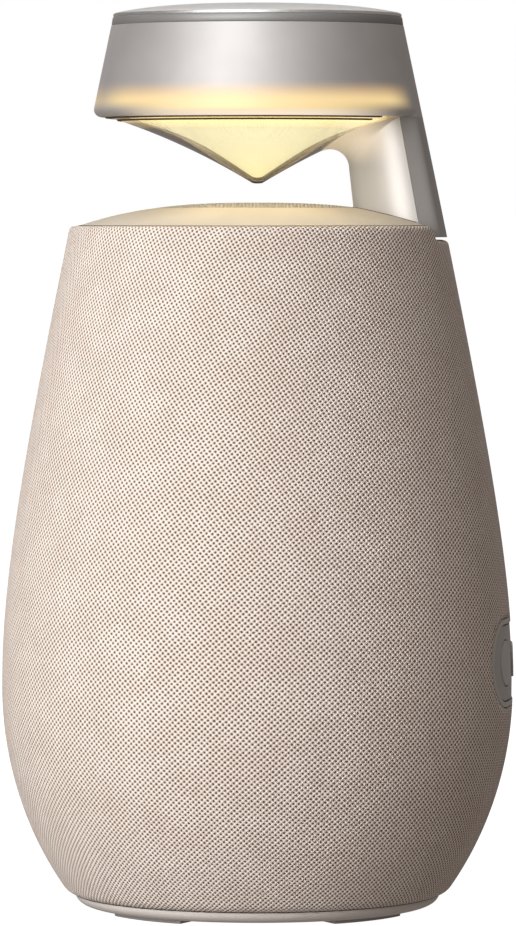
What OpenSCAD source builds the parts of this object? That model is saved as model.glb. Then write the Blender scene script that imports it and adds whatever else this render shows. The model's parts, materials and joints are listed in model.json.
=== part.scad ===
// Portable lantern speaker. A pear-shaped fabric body holds an upward-firing woofer, and a lamp head
// with a clear inverted cone hangs over it on one arm. +Z is up, the origin is the middle of the
// footprint, and the arm and the control panel are on the +X side. All sizes are in millimetres.

/* [Outline] */
// Radius of the body at its widest
wide_r = 68.5; // [66:0.5:71]
// Height of the widest place
wide_z = 60; // [58:1:62]
// How fast the outline leans in above the widest place
upper_lean = 0.219; // [0.21:0.001:0.225]
// Softness of the turn from the widest place to the lean
upper_soft = 10.6; // [9:0.1:12]

/* [Body] */
// Height of the fabric's lower hem
hem_z = 4.2; // [4:0.1:5]
// Height of the fabric's upper rim
rim_z = 183; // [181:0.5:184]
// Thickness of the fabric skin
fabric_t = 1.0; // [0.8:0.1:1.2]
// Wall thickness of the inner cabinet
wall = 2.5; // [2:0.1:3]
// Height of the joint between the lower and the upper cabinet
split_z = 46; // [44:1:48]
// Height of the foot pads
foot_h = 1.1; // [1:0.1:1.5]
// Rise of the domed top plate above the fabric rim
dome_rise = 6.2; // [5.5:0.1:7]

/* [Head] */
// Lowest edge of the head
head_z = 212; // [211:0.5:213]
// Top of the translucent shell
shell_top_z = 236.4; // [236:0.1:237]
// Overall height
top_z = 242.2; // [242:0.1:243]
// Rise of the top cap above its rim
cap_rise = 3.5; // [3:0.1:4]
// Tip of the clear reflector cone
cone_tip_z = 194.3; // [193.5:0.1:195.5]

/* [Control panel] */
// Height of the middle of the panel
panel_z = 67; // [65:0.5:69]
// Half of the panel's width across its bezel
panel_half_w = 29; // [28:0.5:30]
// Half of the panel's height across its bezel
panel_half_h = 11.7; // [11.2:0.1:12]
// How far a key can be pressed
key_travel = 0.6; // [0.4:0.1:0.8]

/* [Sound] */
// Height of the middle of the two side radiators
radiator_z = 85; // [84:0.5:86]
// Radius of a side radiator's frame
radiator_r = 30; // [28:0.5:30.5]
// Slots in the middle grille, counted outwards
grille_slots = 8; // [6:1:8]

/* [Hidden] */
$fn = 96;

gap = 0.3;

// ---- the one outline that body, arm and head share ----
lower_drop = 77.6;
lower_reach = 87.4;
function upper_r(z) = wide_r + upper_soft - norm([upper_soft, upper_lean * (z - wide_z)]);
function lower_r(z) = wide_r - lower_drop * (1 - sqrt(1 - pow((wide_z - z) / lower_reach, 2)));
function outline_r(z) = z > wide_z ? upper_r(z) : lower_r(z);
function outline_points(z0, z1, inset, steps) =
    [for (i = [0:steps]) let (z = z0 + (z1 - z0) * i / steps) [outline_r(z) - inset, z]];
function reversed(list) = [for (i = [len(list) - 1:-1:0]) list[i]];

// Solid inside the outline between two heights
module outline_solid(z0, z1, inset = 0, steps = 12) {
    rotate_extrude()
        polygon(concat([[0, z0]], outline_points(z0, z1, inset, steps), [[0, z1]]));
}

// Wall that follows the outline
module outline_wall(z0, z1, inset, thickness, steps = 12) {
    rotate_extrude()
        polygon(concat(outline_points(z0, z1, inset, steps),
                       reversed(outline_points(z0, z1, inset + thickness, steps))));
}

module tube(z0, z1, r_in, r_out) {
    translate([0, 0, z0])
        rotate_extrude()
            translate([r_in, 0])
                square([r_out - r_in, z1 - z0]);
}

module disc(z0, z1, r) {
    translate([0, 0, z0])
        cylinder(h = z1 - z0, r = r);
}

module box(from, to) {
    translate(from)
        cube(to - from);
}

// Oblong bar along X with round ends, centred on the panel
module panel_oblong(half_w, half_h, x0, x1) {
    box([x0, -(half_w - half_h), panel_z - half_h], [x1, half_w - half_h, panel_z + half_h]);
    for (side = [-1, 1])
        translate([x0, side * (half_w - half_h), panel_z])
            rotate([0, 90, 0])
                cylinder(h = x1 - x0, r = half_h);
}

// Pan-head screw with its head at the origin's side and the shank along -Z
module screw(head_r, head_h, shank_r, shank_l) {
    cylinder(h = head_h, r = head_r, $fn = 24);
    translate([0, 0, -shank_l])
        cylinder(h = shank_l, r = shank_r, $fn = 24);
}

// ---- fabric ----
notch_half_w = 17.9;
notch_z = 179.2;
notch_corner = 2.5;
lip_inner_r = 47.9;
lip_t = 1.0;
lip_round = 0.8;

module arm_notch() {
    low = notch_z + notch_corner;
    box([30, -notch_half_w, low], [60, notch_half_w, rim_z + 5]);
    box([30, -notch_half_w + notch_corner, notch_z], [60, notch_half_w - notch_corner, low + 1]);
    for (side = [-1, 1])
        translate([30, side * (notch_half_w - notch_corner), low])
            rotate([0, 90, 0])
                cylinder(h = 30, r = notch_corner, $fn = 32);
}

module fabric_sleeve() {
    color("wheat")
        difference() {
            rotate_extrude()
                polygon(concat(outline_points(hem_z, rim_z - lip_round, 0, 44),
                               [[outline_r(rim_z) - lip_round, rim_z], [lip_inner_r, rim_z],
                                [lip_inner_r, rim_z - lip_t], [outline_r(rim_z - lip_t) - fabric_t, rim_z - lip_t]],
                               reversed(outline_points(hem_z, rim_z - lip_t, fabric_t, 44))));
            arm_notch();
            panel_oblong(panel_half_w + gap, panel_half_h + gap, 50, 75);
        }
}

// ---- cabinet ----
skin = fabric_t + gap;
floor_z = 6.8;
ledge_z = 171;
ledge_t = 2.5;
ledge_top = ledge_z + ledge_t;
ledge_inner_r = 38.5;
cabinet_top = 179.3;
pocket_floor_y = 53;
pocket_r = radiator_r + 1;
tub_x = 53;
bracket_half_w = 11;
bracket_in_x = 43.5;
bracket_out_x = 45.5;
boss_z = [160, 168];
cable_r = 0.9;
cable_hole = [42.5, 14.8, 0];
post_circle = 43;
post_top = 36;
base_screw_circle = 29;
woofer_screw_circle = 40.6;

// Turns a child's +Z to +Y (side 1) or -Y (side -1), at the height of the side radiators
module along_y(side) {
    translate([0, 0, radiator_z])
        rotate([-90 * side, 0, 0])
            children();
}

module around(count, circle_r, first = 0) {
    for (i = [0:count - 1])
        rotate([0, 0, first + i * 360 / count])
            translate([circle_r, 0, 0])
                children();
}

module cabinet_upper() {
    color("dimgray")
        difference() {
            outline_solid(split_z, cabinet_top, skin, 10);
            difference() {
                outline_solid(split_z - 1, cabinet_top + 1, skin + wall, 10);
                tube(ledge_z, ledge_top, ledge_inner_r, 70);
                box([bracket_out_x, -bracket_half_w, boss_z[0]], [60, bracket_half_w, boss_z[1]]);
                for (side = [-1, 1])
                    along_y(side)
                        disc(pocket_floor_y - wall, 80, pocket_r + wall);
                panel_oblong(panel_half_w + 2.3, panel_half_h + 2.3, tub_x - 2, 75);
            }
            for (side = [-1, 1])
                along_y(side) {
                    disc(pocket_floor_y, 80, pocket_r);
                    disc(pocket_floor_y - 2 * wall, 80, radiator_r - 4);
                }
            panel_oblong(panel_half_w + gap, panel_half_h + gap, tub_x, 75);
            box([bracket_in_x - gap, -bracket_half_w - gap, boss_z[1] + 1],
                [bracket_out_x + gap, bracket_half_w + gap, 185]);
            translate(cable_hole)
                disc(ledge_z - 1, ledge_top + 1, cable_r + gap);
            around(4, woofer_screw_circle, 45)
                disc(ledge_z - 1, ledge_top + 1, 1);
        }
}

module cabinet_lower() {
    color("dimgray")
        difference() {
            union() {
                outline_wall(hem_z, split_z - gap, skin, wall, 10);
                outline_solid(hem_z, floor_z, skin + wall / 2, 2);
                around(4, post_circle)
                    disc(floor_z - 1, post_top, 3.2);
            }
            around(4, base_screw_circle, 45)
                disc(0, floor_z + 1, 1.2);
            around(4, post_circle)
                disc(post_top - 9, post_top + 1, 1.1);
        }
}

module cabinet_gasket() {
    color("black")
        difference() {
            outline_solid(split_z - gap, split_z, skin + 0.4, 1);
            outline_solid(split_z - gap - 1, split_z + 1, skin + wall - 0.4, 1);
        }
}

// ---- base and feet ----
base_top_r = 48.9;
base_low_r = 44.2;
cover_r = 34;
cover_z = 1.6;
foot_sink = 0.6;
foot_inner_r = 36;
foot_outer_r = 43;
foot_angle = 34;

module foot(angle) {
    color("black")
        rotate([0, 0, angle - foot_angle / 2])
            rotate_extrude(angle = foot_angle)
                translate([foot_inner_r, 0])
                    square([foot_outer_r - foot_inner_r, foot_h + foot_sink]);
}

module base_ring() {
    base_curve = [for (a = [0:15:90]) [base_low_r + (base_top_r - base_low_r) * sin(a),
                                       hem_z - (hem_z - foot_h) * cos(a)]];
    color("gray")
        difference() {
            rotate_extrude()
                polygon(concat([[cover_r, foot_h]], base_curve, [[cover_r, hem_z]]));
            for (a = [45:90:315])
                foot(a);
        }
}

module foot_1() { foot(45); }
module foot_2() { foot(135); }
module foot_3() { foot(225); }
module foot_4() { foot(315); }

module bottom_cover() {
    color("dimgray")
        difference() {
            disc(cover_z, hem_z, cover_r - 0.2);
            around(4, base_screw_circle, 45) {
                disc(0, 20, 1.2);
                disc(0, cover_z + 1.2, 2.6);
            }
        }
}

module base_screws() {
    color("silver")
        around(4, base_screw_circle, 45)
            translate([0, 0, cover_z + 1.2])
                rotate([180, 0, 0])
                    screw(2.4, 1.1, 1.2, 3.8);
}

// ---- battery and main board ----
cell_r = 9.2;
cell_l = 65;
cell_x = 9.7;
cell_z = floor_z + 1.5 + cell_r;
board_t = 1.6;
board_top = post_top + board_t;
board_r = 48;

module cells(r, l) {
    for (x = [-cell_x, cell_x])
        translate([x, 0, cell_z])
            rotate([90, 0, 0])
                cylinder(h = l, r = r, center = true);
}

module battery_holder() {
    color("black")
        difference() {
            box([-2 * cell_x - 1.5, -cell_l / 2 - 3, floor_z], [2 * cell_x + 1.5, cell_l / 2 + 3, cell_z]);
            cells(cell_r + 0.1, cell_l + 0.4);
            box([-cell_x, -cell_l / 2 + 6, floor_z + 2], [cell_x, cell_l / 2 - 6, cell_z + 1]);
        }
}

module battery_cells() {
    color("steelblue")
        cells(cell_r, cell_l);
}

module main_board() {
    color("darkgreen")
        difference() {
            disc(post_top, board_top, board_r);
            around(4, post_circle)
                disc(0, 60, 1.3);
        }
}

module board_parts() {
    color("darkslategray") {
        for (y = [-24, -12, 12, 24])
            translate([30, y, 0])
                disc(board_top, board_top + 7, 4);
        for (x = [-8, 8])
            box([x - 5, -34, board_top], [x + 5, -24, board_top + 5]);
        box([-7, 6, board_top], [7, 20, board_top + 1.4]);
        box([-4, -16, board_top], [6, -6, board_top + 1.2]);
        box([-8, 30, board_top], [8, 38, board_top + 6]);
        box([12, -3, board_top], [20, 9, board_top + 5.5]);
    }
}

module heat_sink() {
    color("silver") {
        box([-36, -16, board_top], [-16, 16, board_top + 2]);
        for (i = [0:5])
            translate([-36 + i * 3.76, 0, 0])
                box([0, -16, board_top + 2], [1.2, 16, board_top + 7]);
    }
}

module board_screws() {
    color("silver")
        around(4, post_circle)
            translate([0, 0, board_top])
                screw(2.4, 1.4, 1.1, 8);
}

// ---- woofer ----
woofer_flange_t = 1.8;
flange_top = ledge_top + woofer_flange_t;
basket_z = 150;
basket_floor = basket_z + 2;
washer_z = 147;
magnet_z = 135;
yoke_z = 131;
pole_r = 9.4;
coil_in_r = 10;
coil_out_r = 10.4;
neck_z = 155.8;
cone_rim_r = 33.4;

module woofer_basket() {
    color("dimgray")
        difference() {
            rotate_extrude()
                polygon([[15, basket_z], [27, basket_z], [27, 156], [37.8, ledge_z + 0.8], [37.8, ledge_top],
                         [42.5, ledge_top], [42.5, flange_top], [35.6, flange_top], [35.6, ledge_z + 1.5],
                         [25.2, 157.5], [23.8, 156], [23.8, basket_floor], [15, basket_floor]]);
            for (a = [0:60:120])
                rotate([0, 0, a])
                    box([-50, -9, 158.5], [50, 9, 169.5]);
            around(4, woofer_screw_circle, 45)
                disc(ledge_z, flange_top + 1, 1);
        }
}

module baffle_screws() {
    color("silver")
        around(4, woofer_screw_circle, 45)
            translate([0, 0, flange_top])
                screw(1.8, 1.1, 1, 6);
}

module woofer_front_washer() {
    color("silver")
        tube(washer_z, basket_z, 11.5, 24);
}

module woofer_magnet() {
    color("black")
        tube(magnet_z, washer_z, 14, 26);
}

module woofer_yoke() {
    color("silver") {
        disc(yoke_z, magnet_z, 24);
        disc(magnet_z, basket_z, pole_r);
    }
}

module woofer_cone() {
    paper = 0.8;
    cap_r = 13.5;
    cap_h = 4;
    cap_z = neck_z + paper + (cap_r - coil_out_r) * (flange_top - neck_z) / (cone_rim_r - coil_out_r);
    color("darkslategray") {
        rotate_extrude()
            polygon([[coil_out_r, neck_z], [coil_out_r + paper, neck_z], [cone_rim_r - 1, flange_top - paper],
                     [cone_rim_r, flange_top - paper], [cone_rim_r, flange_top - 0.1],
                     [cone_rim_r - 1.4, flange_top - 0.1], [coil_out_r, neck_z + paper]]);
        rotate_extrude()
            polygon(concat([for (a = [0:15:90]) [cap_r * sin(a), cap_z + cap_h * cos(a)]],
                           [for (a = [90:-15:0]) [(cap_r - paper) * sin(a), cap_z + (cap_h - paper) * cos(a)]]));
    }
}

module voice_coil() {
    color("orange") {
        tube(140, neck_z + 1.2, coil_in_r, coil_out_r);
        tube(145, 152, coil_out_r, coil_out_r + 0.5);
    }
}

// Corrugated cloth disc that centres the voice coil
module woofer_spider() {
    cloth = 0.5;
    from_r = coil_out_r + 0.1;
    to_r = 23.7;
    wave = [for (i = [0:24]) let (t = i / 24) [from_r + (to_r - from_r) * t, 154.6 + 0.7 * sin(t * 4 * 360)]];
    color("goldenrod")
        rotate_extrude()
            polygon(concat(wave, reversed([for (p = wave) p + [0, cloth]])));
}

// Half roll of rubber with a flat lip on each side
module roll_profile(inner_r, outer_r, inner_lip, outer_lip, z, t) {
    mid = (inner_r + outer_r) / 2;
    big = (outer_r - inner_r) / 2;
    outer_arc = [for (a = [180:-15:0]) [mid + big * cos(a), z + t + big * sin(a)]];
    inner_arc = [for (a = [0:15:180]) [mid + (big - t) * cos(a), z + t + (big - t) * sin(a)]];
    polygon(concat([[inner_lip, z], [inner_lip, z + t]], outer_arc, [[outer_lip, z + t], [outer_lip, z]],
                   [[mid + big - t, z]], inner_arc, [[mid - big + t, z]]));
}

module woofer_surround() {
    color("black")
        rotate_extrude()
            roll_profile(cone_rim_r, 37.6, cone_rim_r - 1.4, 38.6, flange_top, 0.6);
}

// ---- side radiators ----
plate_r = 17.5;
plate_low = 53.6;
plate_top = 55.2;
frame_top = 55.4;

module radiator_frame(side) {
    color("dimgray")
        along_y(side)
            tube(pocket_floor_y, frame_top, 25, radiator_r);
}

module radiator(side) {
    color("silver")
        along_y(side) {
            disc(plate_low, plate_top, plate_r);
            disc(plate_low - 3, plate_low, 10);
        }
}

module radiator_surround(side) {
    color("black")
        along_y(side)
            rotate_extrude()
                roll_profile(17.9, 25.2, 16, 28, frame_top, 0.6);
}

module radiator_frame_front() { radiator_frame(-1); }
module radiator_front() { radiator(-1); }
module radiator_surround_front() { radiator_surround(-1); }
module radiator_frame_back() { radiator_frame(1); }
module radiator_back() { radiator(1); }
module radiator_surround_back() { radiator_surround(1); }

// ---- control panel ----
bezel_w = 1.4;
groove = 0.4;
dish_inset = 0.3;
dish_t = 1.8;
key_y = panel_half_w - 13;
key_r = 6;
key_inset = 0.1;
key_back_x = 58.6;
cover_half_w = 7.4;
cover_half_h = 4.6;
cover_inset = -0.2;
cover_back_x = 66.4;
board_x = 54;
board_front_x = board_x + board_t;
usb_w = 8.94;
usb_h = 3.26;
usb_front_x = 63;

module key_bar(y, r, x0, x1) {
    translate([x0, y, panel_z])
        rotate([0, 90, 0])
            cylinder(h = x1 - x0, r = r);
}

module panel_bezel() {
    color("gray")
        difference() {
            intersection() {
                outline_solid(50, 85, 0, 7, $fn = 240);
                panel_oblong(panel_half_w, panel_half_h, board_x, 75);
            }
            panel_oblong(panel_half_w - bezel_w, panel_half_h - bezel_w, 50, 76);
        }
}

module control_panel() {
    color("gray")
        difference() {
            intersection() {
                outline_wall(52, 82, dish_inset, dish_t, 6, $fn = 240);
                panel_oblong(panel_half_w - bezel_w - groove, panel_half_h - bezel_w - groove, 50, 75);
            }
            for (side = [-1, 1])
                key_bar(side * key_y, key_r + gap, 50, 75);
            panel_oblong(cover_half_w + gap, cover_half_h + gap, 50, 75);
        }
}

module key(y) {
    color("lightgray")
        intersection() {
            outline_solid(50, 85, key_inset, 7, $fn = 240);
            key_bar(y, key_r, key_back_x, 75);
        }
}

module power_key() { key(-key_y); }
module pairing_key() { key(key_y); }

module port_cover() {
    color("gray")
        intersection() {
            outline_solid(50, 85, cover_inset, 7, $fn = 240);
            panel_oblong(cover_half_w, cover_half_h, cover_back_x, 75);
        }
}

module usb_socket() {
    t = 0.3;
    color("silver")
        difference() {
            box([board_front_x, -usb_w / 2, panel_z - usb_h / 2], [usb_front_x, usb_w / 2, panel_z + usb_h / 2]);
            difference() {
                box([board_front_x + 1, -usb_w / 2 + t, panel_z - usb_h / 2 + t],
                    [usb_front_x + 1, usb_w / 2 - t, panel_z + usb_h / 2 - t]);
                box([board_front_x, -3.3, panel_z - 0.35], [usb_front_x - 0.8, 3.3, panel_z + 0.35]);
            }
        }
}

module key_board() {
    color("darkgreen")
        box([board_x, -21.5, panel_z - 7.5], [board_front_x, 21.5, panel_z + 7.5]);
}

module key_switches() {
    color("black")
        for (side = [-1, 1]) {
            box([board_front_x, side * key_y - 3, panel_z - 3],
                [board_front_x + 1.6, side * key_y + 3, panel_z + 3]);
            key_bar(side * key_y, 1.6, board_front_x + 1.6, key_back_x - key_travel - 0.1);
        }
}

// ---- domed top ----
dome_r = 47.7;
dome_t = 1.8;
grille_r = 27;
flange_r = 49.1;
flange_z = 181.9;
function dome_z(r) = rim_z + dome_rise * (1 - pow(r / 48, 2.6));
function dome_points(r0, r1, drop, steps) =
    [for (i = [0:steps]) let (r = r0 + (r1 - r0) * i / steps) [r, dome_z(r) - drop]];

module top_plate() {
    color("wheat")
        difference() {
            rotate_extrude()
                polygon(concat(dome_points(grille_r + 0.2, dome_r, 0, 10),
                               [[dome_r, flange_z], [flange_r, flange_z], [flange_r, cabinet_top],
                                [45.5, cabinet_top]],
                               reversed(dome_points(grille_r + 0.2, 45.5, dome_t, 10))));
            box([38.5, -12, 170], [60, 12, 195]);
            box([crease_x - 0.3, -16.8, 170], [60, 16.8, 195]);
        }
}

module grille_ring(r0, r1, drop, t) {
    rotate_extrude()
        polygon(concat(dome_points(r0, r1, drop, 2), reversed(dome_points(r0, r1, drop + t, 2))));
}

module top_grille() {
    pitch = (grille_r - 3) / grille_slots;
    color("wheat") {
        grille_ring(0, 3, 0, dome_t / 2);
        for (i = [1:grille_slots])
            grille_ring(3 + pitch * (i - 0.45), 3 + pitch * i, 0, dome_t / 2);
        intersection() {
            grille_ring(0, grille_r, dome_t / 2 - 0.2, dome_t / 2);
            for (a = [0:45:135])
                rotate([0, 0, a])
                    box([-50, -0.8, 170], [50, 0.8, 195]);
        }
    }
}

// ---- arm ----
arm_apex_z = 420.7;
arm_low = 180;
arm_high = head_z - 0.2;
nose_x = 42.6;
nose_r = 16.4;
crease_x = 42.9;
crease_y = 16.1;
arm_wall = 2;
function arm_scale(z) = (arm_apex_z - z) / (arm_apex_z - rim_z);

// Prism whose section, drawn at the rim's height, shrinks towards the body's axis
module arm_prism(z0, z1) {
    translate([0, 0, z0])
        linear_extrude(height = z1 - z0, scale = arm_scale(z1) / arm_scale(z0))
            scale(arm_scale(z0))
                children();
}

module arm_outer_section(inset) {
    polygon([[crease_x, -crease_y + inset], [crease_x, crease_y - inset], [47.9, 14.2 - inset],
             [55, 11.5 - inset], [55, -11.5 + inset], [47.9, -14.2 + inset]]);
}

module arm_outer() {
    color("gray")
        difference() {
            intersection() {
                outline_solid(arm_low, arm_high, 0, 10);
                arm_prism(arm_low, arm_high)
                    arm_outer_section(0);
            }
            intersection() {
                outline_solid(arm_low - 1, arm_high + 1, arm_wall, 10);
                arm_prism(arm_low - 1, arm_high + 1)
                    arm_outer_section(arm_wall);
            }
        }
}

// Space above the clear cone, or above a surface lowered by drop below it
module above_cone(drop) {
    rotate_extrude()
        polygon(concat([[0, cone_z(0) - drop]], cone_points(cone_tip_r, cone_rim_out_r, -drop, 12),
                       [[60, cone_z(cone_rim_out_r) - drop], [60, 230], [0, 230]]));
}

module below_dome() {
    rotate_extrude()
        polygon(concat([[0, 170]], dome_points(0, dome_r, -0.1, 12), [[dome_r, 170]]));
}

module nose_solid(inset, z0, z1) {
    arm_prism(z0, z1)
        intersection() {
            translate([nose_x, 0])
                circle(r = nose_r - inset);
            translate([0, -50])
                square([crease_x - 0.1, 100]);
        }
}

module arm_inner() {
    color("white")
        difference() {
            nose_solid(0, arm_low, arm_high);
            nose_solid(arm_wall, arm_low - 1, arm_high + 1);
            below_dome();
            above_cone(0.1);
        }
}

foot_z = [214, 216];
foot_x = 24;
lean_out_x = 38.9;

module arm_bracket() {
    color("silver")
        difference() {
            translate([0, bracket_half_w - 2, 0])
                rotate([90, 0, 0])
                    linear_extrude(height = 2 * bracket_half_w - 4)
                        polygon([[bracket_in_x, boss_z[0]], [bracket_out_x, boss_z[0]], [bracket_out_x, 181.5],
                                 [lean_out_x, foot_z[0]], [lean_out_x, foot_z[1]], [foot_x, foot_z[1]],
                                 [foot_x, foot_z[0]], [lean_out_x - 2.1, foot_z[0]], [bracket_in_x, 181]]);
            for (side = [-1, 1]) {
                translate([30, side * 4.5, 164])
                    rotate([0, 90, 0])
                        cylinder(h = 30, r = 1.2, $fn = 24);
                translate([31, side * 4.5, 0])
                    disc(210, 220, 1.2);
            }
        }
}

module arm_screws() {
    color("silver")
        for (side = [-1, 1]) {
            translate([bracket_in_x, side * 4.5, 164])
                rotate([0, -90, 0])
                    screw(2.2, 1.4, 1.2, 2);
            translate([31, side * 4.5, foot_z[0]])
                rotate([180, 0, 0])
                    screw(2.2, 1.3, 1.2, 2);
        }
}

// ---- lamp cable, swept along its route inside the cabinet and the arm ----
cable_route = [[32, 34, 44], [38, 32, 60], [44, 20, 90], [45.5, 15, 120], [44, 14.8, 150], [42.5, 14.8, 168],
               [42.5, 14.8, 176], [41.5, 11.2, 181], [40.5, 9.8, 186], [38.5, 9.8, 196], [36, 10, 206],
               [34.5, 10.3, 213], [33.5, 11.5, 219.5]];
cable_sides = 8;
function unit(v) = v / norm(v);
function route_dir(i) = unit(cable_route[min(i + 1, len(cable_route) - 1)] - cable_route[max(i - 1, 0)]);
function ring_point(i, k) =
    let (d = route_dir(i), u = unit(cross(d, [0, 1, 0])), v = cross(d, u), a = k * 360 / cable_sides)
    cable_route[i] + cable_r * (u * cos(a) + v * sin(a));

module lamp_cable() {
    rings = len(cable_route);
    points = [for (i = [0:rings - 1], k = [0:cable_sides - 1]) ring_point(i, k)];
    sides = [for (i = [0:rings - 2], k = [0:cable_sides - 1])
                 let (a = i * cable_sides + k, b = i * cable_sides + (k + 1) % cable_sides)
                 [a, b, b + cable_sides, a + cable_sides]];
    low_end = [for (k = [cable_sides - 1:-1:0]) k];
    high_end = [for (k = [0:cable_sides - 1]) (rings - 1) * cable_sides + k];
    color("black")
        polyhedron(points, concat(sides, [low_end, high_end]));
}

// ---- head ----
shell_t = 1.8;
shell_corner = 2.1;
lip_z = head_z + 1.8;
shell_lip_r = 40.6;

module head_shell() {
    corner_z = head_z + shell_corner;
    corner_r = outline_r(corner_z) - shell_corner;
    color("gainsboro")
        rotate_extrude()
            polygon(concat([[shell_lip_r, lip_z], [shell_lip_r, head_z]],
                           [for (a = [0:18:72]) [corner_r + shell_corner * sin(a), corner_z - shell_corner * cos(a)]],
                           outline_points(corner_z, shell_top_z, 0, 10),
                           reversed(outline_points(lip_z, shell_top_z, shell_t, 10))));
}

trim_top = top_z - cap_rise;
cap_r = 38.5;
cap_t = 1.6;
function cap_z(r) = top_z - (top_z - trim_top) * pow(r / cap_r, 3.6);
function cap_points(r1, drop, steps) = [for (i = [0:steps]) let (r = r1 * i / steps) [r, cap_z(r) - drop]];

module head_trim() {
    color("dimgray")
        rotate_extrude()
            polygon([[33, shell_top_z], [outline_r(shell_top_z) - 0.1, shell_top_z], [cap_r + 0.2, trim_top],
                     [33, trim_top]]);
}

module head_cap() {
    color("silver")
        rotate_extrude()
            polygon(concat(cap_points(cap_r, 0, 14), [[32.8, trim_top], [32.8, shell_top_z], [31.4, shell_top_z]],
                           reversed(cap_points(31.4, cap_t, 10))));
}

chassis_z = [223, 225];
chassis_r = 39.2;
chassis_post_r = 20;
chassis_post_top = 236.8;

module head_chassis() {
    color("white")
        difference() {
            union() {
                disc(chassis_z[0], chassis_z[1], chassis_r);
                around(4, chassis_post_r, 45)
                    disc(chassis_z[0], chassis_post_top, 3);
                box([foot_x, -9, foot_z[1]], [37, 9, chassis_z[1]]);
            }
            disc(220, 230, 8);
            translate([33.5, 11.5, 0])
                disc(210, 230, cable_r + 0.4);
            around(4, chassis_post_r, 45)
                disc(chassis_post_top - 8, chassis_post_top + 1, 1);
        }
}

module touch_board() {
    color("darkgreen")
        difference() {
            disc(chassis_post_top, chassis_post_top + 1.2, 25);
            around(4, chassis_post_r, 45)
                disc(230, 240, 1.2);
        }
}

module chassis_screws() {
    color("silver")
        around(4, chassis_post_r, 45)
            translate([0, 0, chassis_post_top + 1.2])
                screw(2.1, 1.1, 1, 8);
}

led_board_z = [221.4, 223];
led_circle = 31;

module led_board() {
    color("white")
        difference() {
            tube(led_board_z[0], led_board_z[1], 21, 34.5);
            box([foot_x - 0.5, -9.5, 210], [50, 14, 230]);
        }
}

module led_chips() {
    color("yellow")
        for (a = [45:30:315])
            rotate([0, 0, a])
                translate([led_circle, 0, 0])
                    box([-1.5, -1.5, led_board_z[0] - 1], [1.5, 1.5, led_board_z[0]]);
}

module light_guide() {
    color("khaki")
        difference() {
            tube(214.3, 221.2, 36, 40.2);
            box([20, -14, 210], [50, 14, 230]);
        }
}

// ---- clear cone and its lit lining ----
cone_tip_r = 1.34;
cone_rim_out_r = 40.4;
cone_t = 1.6;
lining_gap = 2.3;
lining_t = 1.2;
lining_r = 34.5;
function cone_z(r) = cone_tip_z + 0.15 + 0.604 * (r - cone_tip_r) - 0.00384 * pow(r - cone_tip_r, 2);
function cone_points(r0, r1, lift, steps) =
    [for (i = [0:steps]) let (r = r0 + (r1 - r0) * i / steps) [r, cone_z(r) + lift]];

module cone_skin(r, lift, t) {
    rotate_extrude()
        polygon(concat([[0, cone_tip_z + lift]], cone_points(cone_tip_r, r, lift, 12),
                       reversed(cone_points(cone_tip_r, r, lift + t, 12)), [[0, cone_tip_z + lift + t]]));
}

module reflector_cone() {
    color("ivory", 0.5)
        difference() {
            cone_skin(cone_rim_out_r, 0, cone_t);
            nose_solid(arm_wall + 0.2, arm_low, 220);
            box([crease_x * arm_scale(head_z) - 0.2, -14, 200], [50, 14, 220]);
        }
}

module cone_diffuser() {
    color("khaki")
        difference() {
            cone_skin(lining_r, lining_gap, lining_t);
            nose_solid(arm_wall + 0.2, arm_low, 220);
            box([crease_x * arm_scale(head_z) - 0.2, -14, 200], [50, 14, 220]);
        }
}

fabric_sleeve();
cabinet_upper();
cabinet_lower();
cabinet_gasket();
base_ring();
bottom_cover();
foot_1();
foot_2();
foot_3();
foot_4();
base_screws();
battery_holder();
battery_cells();
main_board();
board_parts();
heat_sink();
board_screws();
baffle_screws();
top_plate();
top_grille();
woofer_basket();
woofer_front_washer();
woofer_magnet();
woofer_yoke();
woofer_cone();
voice_coil();
woofer_spider();
woofer_surround();
radiator_frame_front();
radiator_front();
radiator_surround_front();
radiator_frame_back();
radiator_back();
radiator_surround_back();
panel_bezel();
control_panel();
power_key();
pairing_key();
port_cover();
usb_socket();
key_board();
key_switches();
arm_outer();
arm_inner();
arm_bracket();
arm_screws();
lamp_cable();
head_shell();
head_trim();
head_cap();
head_chassis();
chassis_screws();
led_board();
led_chips();
light_guide();
reflector_cone();
cone_diffuser();
touch_board();
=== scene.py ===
"""Looks of the portable lantern speaker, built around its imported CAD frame. Metres, +Z up, arm at +X."""

import json
import math

import bmesh
import bpy
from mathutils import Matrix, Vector
from mathutils.geometry import delaunay_2d_cdt

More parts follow.
